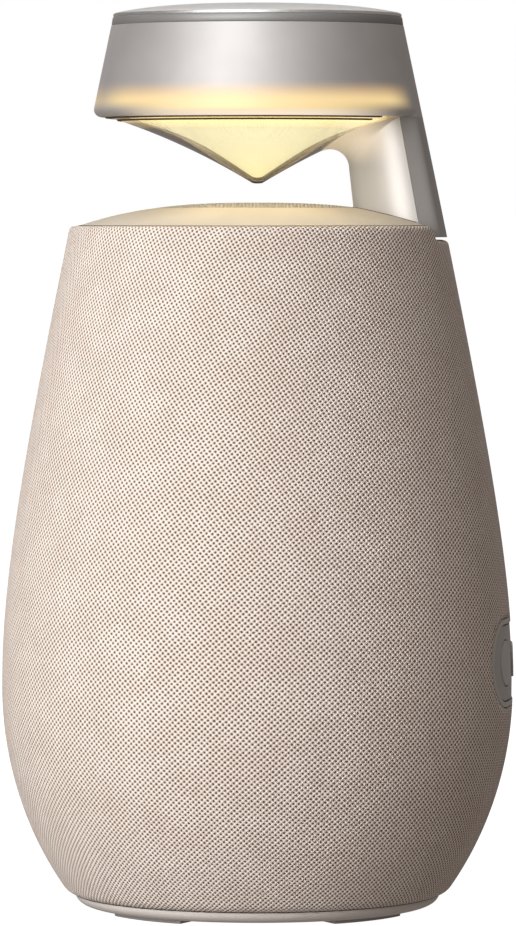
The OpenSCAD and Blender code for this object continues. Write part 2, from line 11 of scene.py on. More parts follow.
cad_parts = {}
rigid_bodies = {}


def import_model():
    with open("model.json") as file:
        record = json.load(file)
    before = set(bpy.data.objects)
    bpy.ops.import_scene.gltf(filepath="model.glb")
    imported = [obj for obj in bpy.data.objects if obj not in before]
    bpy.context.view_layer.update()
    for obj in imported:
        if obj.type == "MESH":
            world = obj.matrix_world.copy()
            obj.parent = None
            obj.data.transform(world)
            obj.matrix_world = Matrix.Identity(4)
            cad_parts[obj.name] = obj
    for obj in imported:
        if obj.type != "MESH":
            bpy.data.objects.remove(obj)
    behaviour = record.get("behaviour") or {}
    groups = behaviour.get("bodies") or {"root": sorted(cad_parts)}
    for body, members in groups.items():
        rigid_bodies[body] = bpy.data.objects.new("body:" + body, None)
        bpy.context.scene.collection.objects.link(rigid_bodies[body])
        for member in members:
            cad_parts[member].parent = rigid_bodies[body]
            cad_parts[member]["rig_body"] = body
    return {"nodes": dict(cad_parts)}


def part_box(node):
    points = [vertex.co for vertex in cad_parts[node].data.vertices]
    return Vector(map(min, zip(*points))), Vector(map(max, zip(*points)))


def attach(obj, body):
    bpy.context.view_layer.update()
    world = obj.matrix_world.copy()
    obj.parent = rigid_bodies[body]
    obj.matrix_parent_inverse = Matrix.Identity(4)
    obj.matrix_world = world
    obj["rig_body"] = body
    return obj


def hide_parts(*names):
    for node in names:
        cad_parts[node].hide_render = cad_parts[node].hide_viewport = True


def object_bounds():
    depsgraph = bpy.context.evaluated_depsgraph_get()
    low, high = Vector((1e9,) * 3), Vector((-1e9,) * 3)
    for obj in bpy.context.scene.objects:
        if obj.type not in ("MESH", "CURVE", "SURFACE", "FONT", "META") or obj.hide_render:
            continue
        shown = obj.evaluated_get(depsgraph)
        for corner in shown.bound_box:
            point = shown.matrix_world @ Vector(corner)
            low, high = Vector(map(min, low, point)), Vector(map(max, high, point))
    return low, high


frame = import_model()
cad_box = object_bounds()
MM = 0.001

# ---- the outline that body, arm and head share, as in the CAD ----
SLEEVE_LOW, SLEEVE_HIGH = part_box("fabric_sleeve")
WIDE_R = SLEEVE_HIGH.y
WIDE_Z = 60 * MM
UPPER_LEAN = 0.219
UPPER_SOFT = 10.6 * MM
LOWER_DROP = 77.6 * MM
LOWER_REACH = 87.4 * MM
HEM_Z = SLEEVE_LOW.z
RIM_Z = SLEEVE_HIGH.z


def outline_r(z):
    if z > WIDE_Z:
        return WIDE_R + UPPER_SOFT - math.hypot(UPPER_SOFT, UPPER_LEAN * (z - WIDE_Z))
    return WIDE_R - LOWER_DROP * (1 - math.sqrt(1 - ((WIDE_Z - z) / LOWER_REACH) ** 2))


def blend_between(low, high, x):
    """0 below low, 1 above high, smooth between."""
    t = min(max((x - low) / (high - low), 0), 1)
    return t * t * (3 - 2 * t)


# ---- mesh helpers ----
TURNS = 240
RING_STEPS = 200


def finish_mesh(name, bm, sharp_angle=40):
    """Object from bm, smooth shaded except at edges sharper than sharp_angle degrees."""
    bmesh.ops.recalc_face_normals(bm, faces=bm.faces)
    for face in bm.faces:
        face.smooth = True
    for edge in bm.edges:
        if len(edge.link_faces) == 2 and edge.calc_face_angle(0) > math.radians(sharp_angle):
            edge.smooth = False
    mesh = bpy.data.meshes.new(name)
    bm.to_mesh(mesh)
    bm.free()
    obj = bpy.data.objects.new(name, mesh)
    bpy.context.scene.collection.objects.link(obj)
    return obj


def grid(name, rows, sharp_angle=40):
    """Quads between closed rows of points. The last row is joined to the first."""
    bm = bmesh.new()
    verts = [[bm.verts.new(p) for p in row] for row in rows]
    count = len(rows[0])
    for i in range(len(rows)):
        for j in range(count):
            k = (j + 1) % count
            after = (i + 1) % len(rows)
            bm.faces.new((verts[i][j], verts[i][k], verts[after][k], verts[after][j]))
    return finish_mesh(name, bm, sharp_angle)


def closed_strip(name, loops, sharp_angle=40):
    """Solid between closed loops of points, with its two ends filled."""
    bm = bmesh.new()
    verts = [[bm.verts.new(p) for p in loop] for loop in loops]
    count = len(loops[0])
    for before, after in zip(verts, verts[1:]):
        for j in range(count):
            k = (j + 1) % count
            bm.faces.new((before[j], before[k], after[k], after[j]))
    bm.faces.new(verts[0])
    bm.faces.new(verts[-1])
    return finish_mesh(name, bm, sharp_angle)


def lathe(name, profile, sharp_angle=40):
    """Solid of revolution from a closed profile of (radius, height)."""
    turns = spaced(0, 2 * math.pi, TURNS)[:-1]
    rows = [[(r * math.cos(a), r * math.sin(a), z) for a in turns] for r, z in profile]
    obj = grid(name, rows, sharp_angle)
    tidy(obj)
    return obj


def ring_section(name, section, start, end):
    """Part of a ring: a closed section of (radius, height) swept from one angle to another, in degrees."""
    turns = [math.radians(a) for a in spaced(start, end, RING_STEPS)]
    loops = [[(r * math.cos(a), r * math.sin(a), z) for r, z in section] for a in turns]
    return closed_strip(name, loops)


def tidy(obj):
    """Merges points that fall together, such as those on the axis."""
    bm = bmesh.new()
    bm.from_mesh(obj.data)
    bmesh.ops.remove_doubles(bm, verts=bm.verts, dist=0.002 * MM)
    bmesh.ops.dissolve_degenerate(bm, edges=bm.edges, dist=0.001 * MM)
    bmesh.ops.recalc_face_normals(bm, faces=bm.faces)
    bm.to_mesh(obj.data)
    bm.free()


def solidify(obj, thickness):
    """Wall of this thickness behind the faces of a sheet."""
    modifier = obj.modifiers.new("wall", "SOLIDIFY")
    modifier.thickness = thickness
    modifier.offset = -1
    modifier.use_even_offset = True


def arc(cx, cz, radius, start, end, steps):
    """Points on a circle in the (radius, height) plane, angles in degrees."""
    angles = [math.radians(start + (end - start) * i / steps) for i in range(steps + 1)]
    return [(cx + radius * math.cos(a), cz + radius * math.sin(a)) for a in angles]


def spaced(low, high, steps):
    return [low + (high - low) * i / steps for i in range(steps + 1)]


def place(obj, material, body, slot, *nodes):
    """Gives a new piece its material and body and hides the CAD nodes that it stands for; the slot argument
    is not used.
    """
    obj.data.materials.clear()
    obj.data.materials.append(material)
    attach(obj, body)
    if nodes:
        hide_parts(*nodes)
    return obj


# ---- material helpers ----
class Shader:
    """A material's node tree with short calls. Textures lie in the object's own coordinates, in metres."""

    def __init__(self, name):
        self.material = bpy.data.materials.new(name)
        self.material.use_nodes = True
        self.tree = self.material.node_tree
        self.bsdf = self.tree.nodes["Principled BSDF"]
        self.position = self.tree.nodes.new("ShaderNodeTexCoord").outputs["Object"]

    def put(self, socket, value):
        if isinstance(value, bpy.types.NodeSocket):
            self.tree.links.new(value, socket)
        else:
            socket.default_value = value

    def set(self, **values):
        for name, value in values.items():
            self.put(self.bsdf.inputs[name.replace("_", " ")], value)

    def math(self, operation, a, b=0.0):
        node = self.tree.nodes.new("ShaderNodeMath")
        node.operation = operation
        for socket, value in zip(node.inputs, (a, b)):
            self.put(socket, value)
        return node.outputs[0]

    def total(self, *terms):
        out = terms[0]
        for term in terms[1:]:
            out = self.math("ADD", out, term)
        return out

    def ramp(self, value, low, high, to_low=0.0, to_high=1.0):
        node = self.tree.nodes.new("ShaderNodeMapRange")
        node.interpolation_type = "SMOOTHSTEP"
        for name, setting in (("Value", value), ("From Min", low), ("From Max", high),
                              ("To Min", to_low), ("To Max", to_high)):
            self.put(node.inputs[name], setting)
        return node.outputs[0]

    def noise(self, size, detail=2.0, stretch=(1, 1, 1)):
        """Noise between 0 and 1 whose blotches are about size metres across."""
        mapping = self.tree.nodes.new("ShaderNodeMapping")
        self.put(mapping.inputs["Vector"], self.position)
        mapping.inputs["Scale"].default_value = stretch
        node = self.tree.nodes.new("ShaderNodeTexNoise")
        self.put(node.inputs["Vector"], mapping.outputs[0])
        node.inputs["Scale"].default_value = 1 / size
        node.inputs["Detail"].default_value = detail
        return node.outputs[0]

    def mix(self, factor, a, b):
        node = self.tree.nodes.new("ShaderNodeMix")
        node.data_type = "RGBA"
        self.put(node.inputs["Factor"], factor)
        self.put(node.inputs["A"], (*a, 1) if isinstance(a, tuple) else a)
        self.put(node.inputs["B"], (*b, 1) if isinstance(b, tuple) else b)
        return next(s for s in node.outputs if s.type == "RGBA")

    def bump(self, height, distance):
        node = self.tree.nodes.new("ShaderNodeBump")
        node.inputs["Distance"].default_value = distance
        self.put(node.inputs["Height"], height)
        self.put(self.bsdf.inputs["Normal"], node.outputs[0])

    def xyz(self, vector=None):
        node = self.tree.nodes.new("ShaderNodeSeparateXYZ")
        self.put(node.inputs[0], vector or self.position)
        return node.outputs


def scaled(color, factor):
    return tuple(min(c * factor, 1) for c in color)


def moulded(name, color, roughness=0.45, grain=0.12 * MM, relief=0.01 * MM, metallic=0.0, coat=0.0):
    """Moulded plastic or rubber: fine spark texture, faint cloudiness and uneven gloss."""
    s = Shader(name)
    cloud = s.noise(14 * MM, 3)
    fine = s.noise(grain, 3)
    tone = s.mix(s.ramp(cloud, 0.3, 0.7), scaled(color, 0.96), scaled(color, 1.03))
    s.set(Base_Color=s.mix(s.ramp(fine, 0.35, 0.65, 0.0, 0.35), tone, scaled(color, 0.9)))
    s.set(Roughness=s.ramp(fine, 0.2, 0.8, roughness - 0.05, roughness + 0.07))
    s.set(Metallic=metallic, Coat_Weight=coat, Coat_Roughness=0.2)
    s.bump(fine, relief)
    return s.material


def satin(name, color, roughness, metallic):
    """Smooth satin paint with a little metal in it."""
    return moulded(name, color, roughness, grain=0.15 * MM, relief=0.004 * MM, metallic=metallic)


def metal(name, color, roughness=0.32, stretch=(1, 1, 0.05)):
    """Metal with fine brushing along stretch."""
    s = Shader(name)
    lines = s.noise(0.25 * MM, 4, stretch=stretch)
    dull = s.noise(9 * MM, 2)
    s.set(Base_Color=s.mix(s.ramp(lines, 0.3, 0.7), scaled(color, 0.88), color))
    polish = s.ramp(lines, 0.2, 0.8, roughness - 0.06, roughness + 0.06)
    s.set(Metallic=1.0, Roughness=s.total(polish, s.ramp(dull, 0, 1, -0.03, 0.05)))
    s.bump(lines, 0.006 * MM)
    return s.material


def circuit(name, color):
    """Solder mask over faint copper tracks."""
    s = Shader(name)
    x = s.xyz()["X"]
    track = s.math("PINGPONG", s.total(x, s.math("MULTIPLY", s.noise(11 * MM, 0), 6 * MM)), 0.9 * MM)
    line = s.ramp(track, 0.25 * MM, 0.35 * MM, 1.0, 0.0)
    s.set(Base_Color=s.mix(line, color, scaled(color, 1.9)))
    s.set(Roughness=s.ramp(s.noise(0.4 * MM), 0.2, 0.8, 0.3, 0.45))
    s.bump(line, 0.03 * MM)
    return s.material


def wound(name, color, pitch, roughness=0.4):
    """Fine turns stacked along Z, as on a coil, a corrugated cloth or wrapped film, with painted shade in the
    groove between turns.
    """
    s = Shader(name)
    z = s.xyz()["Z"]
    turn = s.math("PINGPONG", z, pitch / 2)
    shade = s.ramp(turn, 0, pitch / 2)
    light = s.total(s.math("MULTIPLY", shade, 0.7), s.math("MULTIPLY", s.noise(2 * MM), 0.3))
    # Painted shade: each turn is darker towards the groove between turns.
    s.set(Base_Color=s.mix(light, scaled(color, 0.6), color))
    s.set(Roughness=s.ramp(s.noise(0.5 * MM), 0.2, 0.8, roughness - 0.05, roughness + 0.1))
    s.bump(shade, pitch / 3)
    return s.material


# ---- knit fabric ----
KNIT_CELLS = 45.0
KNIT_CELLS_PER_M = 617.0
KNIT_LEAN = 100.0
KNIT_BOW = 1400.0
COURSES_PER_M = 1320.0
COURSE_TURN = 4.6
COURSE_TURN_PER_M = 43.0


def knit_phases(theta, z, arc_length):
    """Two phases that both are whole numbers at each opening of the knit. theta is 0 at the front."""
    wales = (KNIT_CELLS + KNIT_CELLS_PER_M * outline_r(z)) * theta + KNIT_LEAN * z - KNIT_BOW * z * z
    courses = -(COURSE_TURN + COURSE_TURN_PER_M * z) * theta - COURSES_PER_M * arc_length
    return (wales + courses) / 2, (wales - courses) / 2


def knit_material():
    """Open mesh knit: light cotton-like yarn around small openings, with mottled yarn colour and a painted
    highlight on the yarn's crowns.
    """
    s = Shader("knit_fabric")
    attribute = s.tree.nodes.new("ShaderNodeAttribute")
    attribute.attribute_name = "knit"
    phases = s.xyz(attribute.outputs["Vector"])
    wobble = s.math("MULTIPLY", s.math("SUBTRACT", s.noise(1.6 * MM, 2), 0.5), 0.35)
    a = s.total(phases["X"], wobble)
    sway = s.math("MULTIPLY", s.math("SUBTRACT", s.noise(2.3 * MM, 2), 0.5), -0.3)
    b = s.total(phases["Y"], sway)

    def wave(phase, weight):
        return s.math("MULTIPLY", s.math("COSINE", s.math("MULTIPLY", phase, 2 * math.pi)), weight)

    field = s.total(wave(a, 1), wave(b, 1), wave(s.total(a, b), 0.4), wave(s.math("SUBTRACT", a, b), 0.5))
    hole = s.ramp(field, -0.3, 2.3)
    crown_and_highlight = s.ramp(s.total(wave(a, 1), wave(b, 1)), -1.9, -0.3, 1.0, 0.0)
    blotch = s.noise(9 * MM, 4)
    fleck = s.noise(1.1 * MM, 3)
    yarn = s.mix(s.ramp(blotch, 0.32, 0.68), (0.72, 0.605, 0.53), (0.79, 0.69, 0.615))
    yarn = s.mix(s.ramp(fleck, 0.3, 0.75, 0.0, 0.45), yarn, (0.64, 0.51, 0.425))
    # Painted highlight: the yarn's crowns are mixed towards near white.
    yarn = s.mix(s.math("MULTIPLY", crown_and_highlight, 0.75), yarn, (1.0, 0.93, 0.86))
    s.set(Base_Color=s.mix(hole, yarn, (0.10, 0.07, 0.055)))
    s.set(Roughness=s.ramp(fleck, 0.2, 0.8, 0.78, 0.95))
    s.set(Sheen_Weight=0.15, Sheen_Roughness=0.5, Specular_IOR_Level=0.25)
    fuzz = s.math("MULTIPLY", fleck, 0.25)
    relief = s.total(s.math("MULTIPLY", hole, -1), s.math("MULTIPLY", crown_and_highlight, 0.5), fuzz)
    s.bump(relief, 0.22 * MM)
    return s.material


NOTCH_Z = 179.2 * MM
NOTCH_HALF_W = 17.9 * MM
LIP_ROUND = 1.6 * MM
HEM_ROUND = 5 * MM
HEM_TURN = -34.6
FABRIC_T = 0.7 * MM
LIP_INNER_R = 47.9 * MM
CUT_HALF_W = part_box("panel_bezel")[1].y + 0.3 * MM
CUT_HALF_H = (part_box("panel_bezel")[1].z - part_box("panel_bezel")[0].z) / 2 + 0.3 * MM
PANEL_Z = (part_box("panel_bezel")[1].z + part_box("panel_bezel")[0].z) / 2
SLEEVE_COLUMNS = 300
SLEEVE_ROWS = 130


def rim_height(x, y):
    """Upper edge of the fabric: level, with a notch whose corners are round where the arm stands."""
    if x < 0:
        return RIM_Z
    open_side = blend_between(NOTCH_HALF_W - 1.4 * MM, NOTCH_HALF_W + 1.6 * MM, abs(y))
    return NOTCH_Z + (RIM_Z - NOTCH_Z) * open_side


def sleeve_column(theta):
    """Points of one meridian of the fabric, from the rolled hem up over the rim, with their knit phases."""
    across = (math.sin(theta), -math.cos(theta))
    top = rim_height(across[0] * LIP_INNER_R, across[1] * LIP_INNER_R)
    turn = math.radians(HEM_TURN)
    leave_z = HEM_Z + HEM_ROUND * (1 + math.sin(turn))
    hem_centre = (outline_r(leave_z) - HEM_ROUND * math.cos(turn), HEM_Z + HEM_ROUND)
    points = arc(*hem_centre, HEM_ROUND, -72, HEM_TURN, 8)
    shoulder = top - LIP_ROUND
    points += [(outline_r(z), z) for z in spaced(leave_z, shoulder, SLEEVE_ROWS)[1:]]
    edge_r = outline_r(shoulder)
    points += arc(edge_r - LIP_ROUND, shoulder, LIP_ROUND, 14, 90, 6)[1:]
    points += [(r, top) for r in spaced(edge_r - LIP_ROUND, LIP_INNER_R, 2)[1:]]
    column, length, last = [], 0.0, points[0]
    for r, z in points:
        length += math.hypot(r - last[0], z - last[1])
        last = (r, z)
        column.append(((r * across[0], r * across[1], z), knit_phases(theta, z, length)))
    return column


def oblong_distance(y, z):
    """Signed distance from the edge of the panel's opening in the fabric: negative inside."""
    straight = CUT_HALF_W - CUT_HALF_H
    return math.hypot(max(abs(y) - straight, 0), z - PANEL_Z) - CUT_HALF_H


def snap_to_panel_cut(co):
    """Moves a point near the panel's opening onto its edge, along the surface."""
    straight = CUT_HALF_W - CUT_HALF_H
    centre_y = max(-straight, min(straight, co.y))
    away = Vector((co.y - centre_y, co.z - PANEL_Z))
    away = away.normalized() * CUT_HALF_H
    y, z = centre_y + away.x, PANEL_Z + away.y
    return Vector((math.sqrt(outline_r(z) ** 2 - y * y), y, z))


def make_sleeve(material):
    """The knit sleeve: one sheet around the body, sewn at the back, open at the arm and at the panel."""
    thetas = spaced(-math.pi, math.pi, SLEEVE_COLUMNS)
    columns = [sleeve_column(theta) for theta in thetas]
    bm = bmesh.new()
    knit = bm.verts.layers.float_vector.new("knit")
    verts = []
    for column in columns:
        verts.append([])
        for point, (a, b) in column:
            vert = bm.verts.new(point)
            vert[knit] = (a, b, 0)
            verts[-1].append(vert)
    for left, right in zip(verts, verts[1:]):
        for i in range(len(left) - 1):
            bm.faces.new((left[i], right[i], right[i + 1], left[i + 1]))
    at_panel = [f for f in bm.faces
                if f.calc_center_median().x > 0
                and oblong_distance(f.calc_center_median().y, f.calc_center_median().z) < 0]
    bmesh.ops.delete(bm, geom=at_panel, context="FACES")
    for vert in bm.verts:
        if vert.is_boundary and vert.co.x > 0 and abs(oblong_distance(vert.co.y, vert.co.z)) < 2 * MM:
            vert.co = snap_to_panel_cut(vert.co)
    area = sum(f.calc_area() for f in bm.faces)
    sleeve = finish_mesh("knit_sleeve", bm, sharp_angle=80)
    solidify(sleeve, FABRIC_T)
    place(sleeve, material, "root", "fabric", "fabric_sleeve")
    return sleeve


def make_seam(material):
    """Row of sewn stitches that closes the sleeve at the back."""
    stitches = bmesh.new()
    pitch = 2.6 * MM
    count = int((RIM_Z - HEM_Z - 8 * MM) / pitch)
    for i in range(count):
        low = HEM_Z + 5 * MM + i * pitch
        rows = []
        for t in spaced(0, 1, 6):
            z = low + t * pitch * 0.8
            lift = math.sin(math.pi * t)
            swell = (0.16 + 0.12 * lift) * MM
            centre_y = outline_r(z) - 0.1 * MM + 0.16 * MM * lift
            rows.append([stitches.verts.new((swell * math.cos(a), centre_y + swell * math.sin(a), z))
                         for a in spaced(0, 2 * math.pi, 8)[:-1]])
        for lower, upper in zip(rows, rows[1:]):
            for j in range(8):
                k = (j + 1) % 8
                stitches.faces.new((lower[j], lower[k], upper[k], upper[j]))
        stitches.faces.new(rows[0])
        stitches.faces.new(rows[-1])
    seam = finish_mesh("sleeve_stitches", stitches)
    place(seam, material, "root", "fabric")
    return seam


# ---- domed top ----
DOME_RISE = 6.2 * MM
GRILLE_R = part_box("top_grille")[1].x
GRILLE_T = 0.7 * MM
HOLE_PITCH = 0.97 * MM
HOLE_R = 0.33 * MM


def dome_z(r):
    return RIM_Z + DOME_RISE * (1 - (r / (48 * MM)) ** 2.6)


def hole_cells():
    """Whole-number places of the holes, counted in pitches from the middle."""
    reach = int(GRILLE_R / HOLE_PITCH) + 1
    span = range(-reach, reach + 1)
    return {(i, j) for i in span for j in span if math.hypot(i, j) * HOLE_PITCH < GRILLE_R - 1.1 * MM}


def flat_ring(centre, radius, count):
    return [centre + Vector((math.cos(a), math.sin(a))) * radius for a in spaced(0, 2 * math.pi, count)[:-1]]


def make_grille(material):
    """Perforated dome in the middle of the top: a field of fine round holes, drawn as real openings."""
    loops = [flat_ring(Vector((0, 0)), GRILLE_R, 180)]
    cells = hole_cells()
    for cell in sorted(cells):
        loops.append(flat_ring(Vector(cell) * HOLE_PITCH, HOLE_R, 8))
    points, edges = [], []
    for loop in loops:
        first = len(points)
        points += loop
        edges += [(first + i, first + (i + 1) % len(loop)) for i in range(len(loop))]
    verts, _, faces, _, _, _ = delaunay_2d_cdt(points, edges, [], 1, 1e-7)
    bm = bmesh.new()
    made = [bm.verts.new((v.x, v.y, dome_z(v.length))) for v in verts]
    for face in faces:
        middle = sum((verts[i] for i in face), Vector((0, 0))) / len(face)
        cell = (round(middle.x / HOLE_PITCH), round(middle.y / HOLE_PITCH))
        in_hole = (middle - Vector(cell) * HOLE_PITCH).length < HOLE_R * 0.98
        if not (in_hole and cell in cells):
            bm.faces.new([made[i] for i in face])
    for vert in [v for v in bm.verts if not v.link_faces]:
        bm.verts.remove(vert)
    grille = finish_mesh("dome_grille", bm)
    solidify(grille, GRILLE_T)
    place(grille, material, "root", "cream_plastic", "top_grille")
    return grille


def make_dome_shadow_line(material):
    """Thin dark bead between the dome and the fabric, open where the arm stands: painted shadow of the gap
    between them.
    """
    section = [(47.55 * MM, RIM_Z - 0.3 * MM), (47.95 * MM, RIM_Z - 0.3 * MM),
               (47.95 * MM, RIM_Z + 0.14 * MM), (47.55 * MM, RIM_Z + 0.2 * MM)]
    seam_shade = ring_section("dome_gap_shadow", section, 22, 338)
    place(seam_shade, material, "root", "rubber")


# ---- base ----
def make_base_ring(material):
    low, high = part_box("base_ring")
    top_r, low_r, inner_r = high.x, 44.2 * MM, 34 * MM
    curve = [(low_r + (top_r - low_r) * math.sin(a), high.z - (high.z - low.z) * math.cos(a))
             for a in spaced(0, math.pi / 2, 20)]
    ring = lathe("base_ring_smooth", [(inner_r, low.z)] + curve + [(inner_r, high.z)])
    place(ring, material, "root", "gray_plastic", "base_ring")
    return ring


# ---- head ----
HEAD_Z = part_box("head_shell")[0].z
SHELL_TOP_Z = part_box("head_shell")[1].z
CAP_TOP_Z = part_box("head_cap")[1].z
SHELL_LIP_R = 40.6 * MM
SHELL_T = 1.8 * MM
SHELL_CORNER = 2.1 * MM
TRIM_TOP_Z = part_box("head_trim")[1].z
CAP_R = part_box("head_cap")[1].x


def shell_profile():
    """Outer face of the shell from its inner lip round the lower corner and up."""
    corner_z = HEAD_Z + SHELL_CORNER
    corner_r = outline_r(corner_z) - SHELL_CORNER
    points = [(SHELL_LIP_R, HEAD_Z + 0.3 * MM), (SHELL_LIP_R + 0.3 * MM, HEAD_Z)]
    points += [(r, HEAD_Z) for r in spaced(SHELL_LIP_R + 0.8 * MM, corner_r - 0.3 * MM, 2)]
    points += arc(corner_r, corner_z, SHELL_CORNER, -90, -8, 8)
    points += [(outline_r(z), z) for z in spaced(corner_z + 0.4 * MM, SHELL_TOP_Z, 18)]
    return points


def make_shell(material):
    """Satin shell. Where the arm rises into it, its lower corner runs straight down to meet the arm."""
    outer = shell_profile()
    low = HEAD_Z - 0.2 * MM
    straight_z = spaced(low, HEAD_Z + SHELL_CORNER + 0.4 * MM, len(outer) - 19)
    straight = [(outline_r(z), z) for z in straight_z] + outer[len(outer) - 18:]
    inner = [(outline_r(z) - SHELL_T, z) for z in spaced(SHELL_TOP_Z, HEAD_Z + SHELL_T, 10)]
    inner += [(SHELL_LIP_R, HEAD_Z + SHELL_T)]
    turns = spaced(0, 2 * math.pi, 288)[:-1]
    columns = []
    for a in turns:
        off_arm = math.degrees(abs(math.atan2(math.sin(a), math.cos(a))))
        w = 1 - blend_between(14.5, 24, off_arm)
        section = [(p[0] + (q[0] - p[0]) * w, p[1] + (q[1] - p[1]) * w) for p, q in zip(outer, straight)]
        columns.append([(r * math.cos(a), r * math.sin(a), z) for r, z in section + inner])
    rows = [list(row) for row in zip(*columns)]
    shell = grid("head_shell_satin", rows, sharp_angle=60)
    place(shell, material, "root", "smoked_shell", "head_shell")
    return shell


CAP_EDGE = 0.95 * MM


def cap_z(r):
    """Top of the cap: a low dome that ends above an upright edge."""
    return CAP_TOP_Z - (CAP_TOP_Z - TRIM_TOP_Z - CAP_EDGE) * (r / CAP_R) ** 3.2


def make_cap(material):
    round_r = 0.45 * MM
    top = [(r, cap_z(r)) for r in spaced(0, CAP_R - 1.5 * round_r, 30)]
    edge = arc(CAP_R - round_r, TRIM_TOP_Z + CAP_EDGE - round_r, round_r, 70, 0, 4)
    edge += [(CAP_R, TRIM_TOP_Z + 0.12 * MM), (CAP_R - 0.12 * MM, TRIM_TOP_Z)]
    skirt = [(32.8 * MM, TRIM_TOP_Z), (32.8 * MM, SHELL_TOP_Z), (31.4 * MM, SHELL_TOP_Z)]
    under = [(r, cap_z(r) - 1.6 * MM) for r in spaced(31.4 * MM, 0, 12)]
    cap = lathe("head_cap_smooth", top + edge + skirt + under)
    place(cap, material, "root", "satin_metal", "head_cap")
    return cap


def make_trim(material):
    low_r = outline_r(SHELL_TOP_Z) - 0.1 * MM
    top_r = CAP_R + 0.2 * MM
    profile = [(33 * MM, SHELL_TOP_Z), (low_r - 0.25 * MM, SHELL_TOP_Z), (low_r, SHELL_TOP_Z + 0.25 * MM),
               (top_r, TRIM_TOP_Z - 0.3 * MM), (top_r - 0.3 * MM, TRIM_TOP_Z), (33 * MM, TRIM_TOP_Z)]
    trim = lathe("head_trim_smooth", profile, sharp_angle=70)
    place(trim, material, "root", "satin_metal", "head_trim")
    return trim


CONE_TIP_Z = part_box("reflector_cone")[0].z
CONE_TIP_R = 1.34 * MM
CONE_RIM_R = 40.4 * MM
CONE_T = 1.6 * MM
LINING_LIFT = 2.3 * MM
LINING_SWELL = 1.1 * MM
LINING_T = 1.2 * MM
LINING_R = 34.5 * MM
SEAT_RING_R = 40.1 * MM
STEP_RING_R = 37.3 * MM
RING_ENDS = (36, 324)


def cone_z(r):
    """Underside of the clear cone: nearly straight, a little flatter towards the rim."""
    run = (r - CONE_TIP_R) / MM
    return CONE_TIP_Z + (0.15 + 0.604 * run - 0.00384 * run * run) * MM


def cone_profile(rim_r, thickness):
    under = [(0, CONE_TIP_Z), (CONE_TIP_R * 0.5, CONE_TIP_Z + 0.03 * MM)]
    under += [(r, cone_z(r)) for r in spaced(CONE_TIP_R, rim_r, 40)]
    over = [(r, cone_z(r) + thickness) for r in spaced(rim_r, CONE_TIP_R, 40)]
    return under + over + [(0, CONE_TIP_Z + thickness)]


def lining_profile():
    """Lining above the clear cone: it stands off most half-way up and comes close again at the rim."""
    def low(r):
        return cone_z(r) + LINING_LIFT + LINING_SWELL * math.sin(math.pi * min(r / LINING_R, 1)) ** 2

    under = [(0, CONE_TIP_Z + LINING_LIFT)] + [(r, low(r)) for r in spaced(CONE_TIP_R, LINING_R, 40)]
    return under + [(r, z + LINING_T) for r, z in reversed(under)]


# ---- arm ----
ARM_APEX_Z = 420.7 * MM
ARM_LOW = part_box("arm_outer")[0].z
NOSE_X = 42.6 * MM
NOSE_R = 16.4 * MM
CREASE_X = 42.9 * MM
CREASE_Y = 16.35 * MM
CHAMFER_X = 47.9 * MM
CHAMFER_Y = 14.2 * MM
FILLET_FRONT = 5.1 * MM
FILLET_CREASE = 0.6 * MM
ARM_SKIN = 1.2 * MM


def arm_scale(z):
    return (ARM_APEX_Z - z) / (ARM_APEX_Z - RIM_Z)


def under_head(r):
    """Height of the head's underside: the clear cone, then the level lip of the shell."""
    return min(cone_z(r), HEAD_Z) - 0.08 * MM


def nose_point(turn, z):
    """Point on the round front of the arm, and the way it faces. turn is -1 at one crease, 1 at the other."""
    reach = math.pi / 2 + math.asin(min((CREASE_X - 0.1 * MM - NOSE_X) / NOSE_R, 1))
    angle = math.pi - turn * reach
    s = arm_scale(z)
    facing = Vector((math.cos(angle), math.sin(angle)))
    return Vector((NOSE_X * s + NOSE_R * s * facing.x, NOSE_R * s * facing.y)), facing


def head_distance(column, out, z):
    """Distance from a point ahead of the arm's wall to the head's underside, and how far out it touches."""
    foot, facing = column
    spots = [(math.hypot(d - out, under_head((foot + facing * d).length) - z), d)
             for d in spaced(0, 14 * MM, 280)]
    return min(spots)


def nose_column(turn):
    """Closed outline of one upright slice: wall, fillet tangent to the head, and back down inside."""
    radius = FILLET_CREASE + (FILLET_FRONT - FILLET_CREASE) * blend_between(1.0, 0.45, abs(turn))
    column = nose_point(turn, HEAD_Z - 6 * MM)
    low, high = HEAD_Z - 25 * MM, HEAD_Z
    for _ in range(26):
        centre_z = (low + high) / 2
        column = nose_point(turn, centre_z)
        if head_distance(column, radius, centre_z)[0] > radius:
            low = centre_z
        else:
            high = centre_z
    foot, facing = column
    reach = head_distance(column, radius, centre_z)[1]
    end_z = under_head((foot + facing * reach).length)
    end_angle = math.atan2(end_z - centre_z, reach - radius)
    points = []
    for level in spaced(ARM_LOW + 1.0 * MM, centre_z, 16):
        wall, _ = nose_point(turn, level)
        points.append((wall.x, wall.y, level))
    for angle in spaced(math.pi, end_angle, 12)[1:]:
        spot = foot + facing * (radius + radius * math.cos(angle))
        points.append((spot.x, spot.y, centre_z + radius * math.sin(angle)))
    inner = foot - facing * ARM_SKIN
    bottom = nose_point(turn, ARM_LOW)[0] - facing * ARM_SKIN
    points.append((foot.x, foot.y, under_head(foot.length)))
    points.append((inner.x, inner.y, under_head(inner.length)))
    points.append((bottom.x, bottom.y, ARM_LOW + 1.0 * MM))
    return points


def make_arm_inner(material):
    """Round front of the arm with the fillet that carries it into the cone."""
    columns = [nose_column(turn) for turn in spaced(-1, 1, 72)]
    arm = closed_strip("arm_inner_swept", columns, sharp_angle=60)
    place(arm, material, "root", "pearl_plastic", "arm_inner")
    return arm


